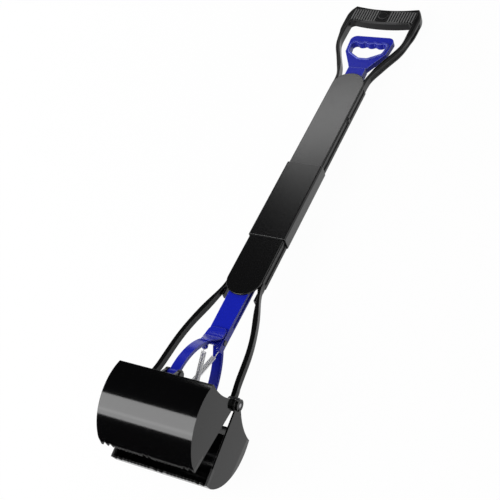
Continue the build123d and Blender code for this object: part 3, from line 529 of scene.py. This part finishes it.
# %% Springs
post_h = 0.0655                  # the rod's post, over the axle
spring_side = 0.0085             # each hook beside the middle
spring_front = 0.0036            # the hooks' radius, so also from the middle
wire_radius = 0.00052
coil_radius = 0.0029
coil_turns = 30
tight_bend = 0.0008
lead = 0.0100                    # from a hook to the coil
hook_tail = 0.001                # the wire's straight ends
before_coil = 0.002              # where the lead first aims, short of the coil
before_hook = 0.005              # where the coil's end aims, short of the hook
under_axle = 0.004               # where the lower hook's start aims


def make_spring(name, side):
    # side is 1 for the spring in front and -1 for the one behind
    top = place(-side * spring_side, post_h, side * spring_front)
    low = place(side * spring_side, 0.0, side * spring_front)
    down = (low - top).normalized()
    front = front_dir * side
    # Both hooks turn the same way round: over the post, and under the axle
    hook_axis = across_dir * side
    coil_start = top + down * lead
    coil_end = low - down * lead
    wire = WireBender(place(-side * spring_side, post_h - hook_tail, -side * spring_front),
                      handle_dir, wire_radius)
    wire.run(hook_tail)
    wire.bend(hook_axis, spring_front, math.pi, turn_steps)
    # The lead bends outward, comes down beside the coil's middle and turns into it
    tangent = down.cross(front).normalized()
    entry = coil_start + front * coil_radius - (tangent + down) * tight_bend
    wire.run(wire.aim(entry - down * before_coil))
    wire.run(wire.aim(entry, reach=tight_bend))
    wire.bend(wire.way.cross(tangent), tight_bend, wire.way.angle(tangent), bend_steps)
    pitch = (coil_end - coil_start).length / coil_turns
    for _ in range(coil_turns):
        wire.bend(down, coil_radius, 2 * math.pi, turn_steps, rise=pitch)
    wire.run(wire.aim(low - down * before_hook, reach=tight_bend))
    wire.run(wire.aim(low, reach=tight_bend))
    wire.aim(low - handle_dir * under_axle, reach=tight_bend)
    wire.bend(hook_axis, spring_front, math.pi, turn_steps)
    wire.run(hook_tail)
    obj = wire.close(name, spring_steel)
    print(name, len(obj.data.polygons), "faces")
    return obj


for spring_name, side, node in (("spring_front_wound", 1, "front_spring"),
                                ("spring_rear_wound", -1, "rear_spring")):
    spring = make_spring(spring_name, side)
    tuple(place(0, 0.058, 0))
    tuple(place(0, 0.006, 0))
    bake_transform(spring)
    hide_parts(node)

# %% [markdown]
# The front link is wider at its top than the plain bar that the solid has. It
# flares out to the width of the pull rod, laps over the mouth between the rod's
# cheeks, and ends in a thin rim. The hood is a grid whose rows are placed one
# by one along that curve, and then thickened. Each station says how far up the
# handle a row lies, how far to the front, and half its width.

# %% Hood of the front link
hood_stations = (
    (0.0915, 0.0072, 0.0100), (0.0870, 0.0074, 0.0128), (0.0800, 0.0084, 0.0134),
    (0.0750, 0.0102, 0.0131), (0.0712, 0.0132, 0.0118), (0.0680, 0.0164, 0.0100),
    (0.0650, 0.0196, 0.0083), (0.0620, 0.0226, 0.0070),
)
hood_steps = 4                   # rows from one station to the next
hood_columns = 10
hood_wall = 0.0016
hood_rim = 0.0005                # rounding of its edges
sharp_edge = 1.0                 # radians between two faces


def smooth_stations(stations, steps):
    # A curve through all the stations, with more of them in between
    padded = (stations[0],) + tuple(stations) + (stations[-1],)
    rows = []
    for a, b, c, d in zip(padded, padded[1:], padded[2:], padded[3:]):
        a, b, c, d = Vector(a), Vector(b), Vector(c), Vector(d)
        for step in range(steps):
            t = step / steps
            rows.append(((2 * b) + (c - a) * t + (2 * a - 5 * b + 4 * c - d) * t ** 2
                         + (3 * b - a - 3 * c + d) * t ** 3) / 2)
    return rows + [Vector(stations[-1])]


hood_rows = smooth_stations(hood_stations, hood_steps)
bm = bmesh.new()
made = bmesh.ops.create_grid(bm, x_segments=hood_columns, y_segments=len(hood_rows) - 1,
                             size=0.5)["verts"]
levels = sorted({round(v.co.y, 4) for v in made})
for level, (up, front, half) in zip(levels, hood_rows):
    row = [v for v in made if abs(v.co.y - level) < 0.001]
    bmesh.ops.scale(bm, vec=(2 * half, 1, 1), verts=row)
    bmesh.ops.translate(bm, vec=place(0, up, front) - Vector((0, level, 0)), verts=row)
bmesh.ops.solidify(bm, geom=bm.faces[:], thickness=hood_wall)
bmesh.ops.recalc_face_normals(bm, faces=bm.faces)
rims = [e for e in bm.edges if len(e.link_faces) == 2 and e.calc_face_angle() > sharp_edge]
bmesh.ops.bevel(bm, geom=rims, offset=hood_rim, segments=2, affect="EDGES", profile=0.5)
hood_mesh = bpy.data.meshes.new("front_link_hood")
bm.to_mesh(hood_mesh)
bm.free()
hood_mesh.materials.append(front_link_blue)
hood_mesh.shade_smooth()
hood = bpy.data.objects.new("front_link_hood", hood_mesh)
bpy.context.scene.collection.objects.link(hood)
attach(hood, "front_strap")
print("hood", len(hood_mesh.polygons), "faces")

# %% [markdown]
# The floor and everything round it is white and goes on for ever, so the
# camera sees no edge. Rays that light the object see a plain pale grey, and
# only the camera's own rays, and those mirrored in gloss, see full white.
# A small part of the floor stays matt, which keeps the object's soft shadow.

# %% Floor
ground = cad_box[0][2]
floor_reach = 14
floor_drop = 0.0002              # a hair under the object
glow_share = 0.97                # the rest is matt

bm = bmesh.new()
bmesh.ops.create_grid(bm, x_segments=1, y_segments=1, size=floor_reach)
bmesh.ops.translate(bm, vec=(0, 0, ground - floor_drop), verts=bm.verts)
floor_mesh = bpy.data.meshes.new("floor")
bm.to_mesh(floor_mesh)
bm.free()
floor = bpy.data.objects.new("floor", floor_mesh)
bpy.context.scene.collection.objects.link(floor)

white_floor = Finish("white floor")
seen = white_floor.add("ShaderNodeLightPath", out="Is Camera Ray")
for ray_kind in ("Is Glossy Ray", "Is Transmission Ray"):
    seen = seen.maths("MAXIMUM", seen, white_floor.add("ShaderNodeLightPath", out=ray_kind))
glow = white_floor.add("ShaderNodeEmission", Color=(1, 1, 1), Strength=1.0)
matt = white_floor.add("ShaderNodeBsdfDiffuse", Color=(0.85, 0.85, 0.85))
mixed = white_floor.add("ShaderNodeMixShader", _0=seen * glow_share, _1=matt, _2=glow)
floor_mesh.materials.append(white_floor.finish(mixed))
print("floor at", round(ground, 4))

# %% [markdown]
# The world follows the same rule as the floor. It has a node tree of its own,
# where three kinds of ray see full white and all the others a pale grey.

# %% World
world = bpy.data.worlds.new("studio")
bpy.context.scene.world = world
world.use_nodes = True
tree = world.node_tree
tree.nodes.clear()
rays = tree.nodes.new("ShaderNodeLightPath")
direct = rays.outputs["Is Camera Ray"]
for ray_kind in ("Is Glossy Ray", "Is Transmission Ray"):
    either = tree.nodes.new("ShaderNodeMath")
    either.operation = "MAXIMUM"
    tree.links.new(direct, either.inputs[0])
    tree.links.new(rays.outputs[ray_kind], either.inputs[1])
    direct = either.outputs[0]
level = tree.nodes.new("ShaderNodeMix")
level.inputs[2].default_value = 0.30         # on the object
level.inputs[3].default_value = 1.0          # seen and mirrored
tree.links.new(direct, level.inputs[0])
sky = tree.nodes.new("ShaderNodeBackground")
sky.inputs["Color"].default_value = (1, 1, 1, 1)
tree.links.new(level.outputs[0], sky.inputs["Strength"])
world_out = tree.nodes.new("ShaderNodeOutputWorld")
tree.links.new(sky.outputs[0], world_out.inputs["Surface"])
print("world made")

# %% [markdown]
# The long covers fade from grey at the top to black at the bottom. That is the
# edge of one soft box, blurred by the grain of the plastic. The front bucket
# carries one broad band with clean edges right across it. That is a second box,
# whose long side lies along the bucket's axis. The key light fills in the blue
# plastic, which is duller, and is kept out of the gloss.

# %% Soft boxes
cover_top = place(0, 0.474, 0.009)
cover_middle = place(0, 0.30, 0.009)
bucket_front = place(0, -0.070, 0.0604)
mirror_lamp("cover box", cover_top, front_dir,
            distance=1.6, width=0.4, height=0.25, power=1.4)
band = mirror_lamp("bucket box", bucket_front, along(0, -0.514, 0.858),
                   distance=1.5, width=1.3, height=1.10, power=25)
key = mirror_lamp("key light", cover_middle, along(-0.55, -0.25, 1),
                  distance=2.0, width=1.4, height=1.4, power=34)
key.visible_glossy = False

# The long side of the bucket box follows the bucket's axis
away = band.location - bucket_front
away = (away - across_dir * away.dot(across_dir)).normalized()
rows = (across_dir, away.cross(across_dir), away)
band.matrix_world = Matrix.Translation(band.location) @ Matrix(rows).transposed().to_4x4()

# %% [markdown]
# Gloss black would mirror the white studio as a grey haze. A photographer puts
# up black cards against that, so three stand here: a large one behind the soft
# boxes, one behind the bucket box and one on the floor in front of the bucket.
# The ends of the buckets mirror a grey card on the floor beside them. Only
# gloss sees the cards.

# %% Cards


def card(name, centre, facing, width, height, shade=0.0):
    bm = bmesh.new()
    bmesh.ops.create_grid(bm, x_segments=1, y_segments=1, size=0.5)
    bmesh.ops.scale(bm, vec=(width, height, 1), verts=bm.verts)
    turned = facing.to_track_quat("Z", "Y").to_matrix().to_4x4()
    bmesh.ops.transform(bm, matrix=Matrix.Translation(centre) @ turned, verts=bm.verts)
    mesh = bpy.data.meshes.new(name)
    bm.to_mesh(mesh)
    bm.free()
    board = bpy.data.objects.new(name, mesh)
    bpy.context.scene.collection.objects.link(board)
    paper = Finish(name)
    glow = paper.add("ShaderNodeEmission", Color=(shade, shade, shade), Strength=1.0)
    mesh.materials.append(paper.finish(glow))
    board.visible_camera = False
    board.visible_diffuse = False
    board.visible_transmission = False
    board.visible_shadow = False


overhead = Vector((-0.50, 0.30, 0.80)).normalized()
overhead_distance = 2.6
upward = Vector((0, 0, 1))
card("overhead card", place(0, 0.1, 0) + overhead * overhead_distance, -overhead, 7.0, 6.0)
card("front card", Vector((-1.2, -2.5, 0.7)), Vector((0, 1, 0)), 5.0, 2.6)
card("floor card", Vector((-0.6, -1.55, ground + 0.001)), upward, 3.0, 2.2)
card("grey card", Vector((0.6725, -0.2, ground - 0.0001)), upward, 1.2, 1.6, shade=0.65)
print("three black cards and a grey one")

# %% [markdown]
# Standard shows each colour as it was written. The other view transforms bend
# the bright end, and would turn the white floor grey.

# %% Colour management
bpy.context.scene.view_settings.view_transform = "Standard"
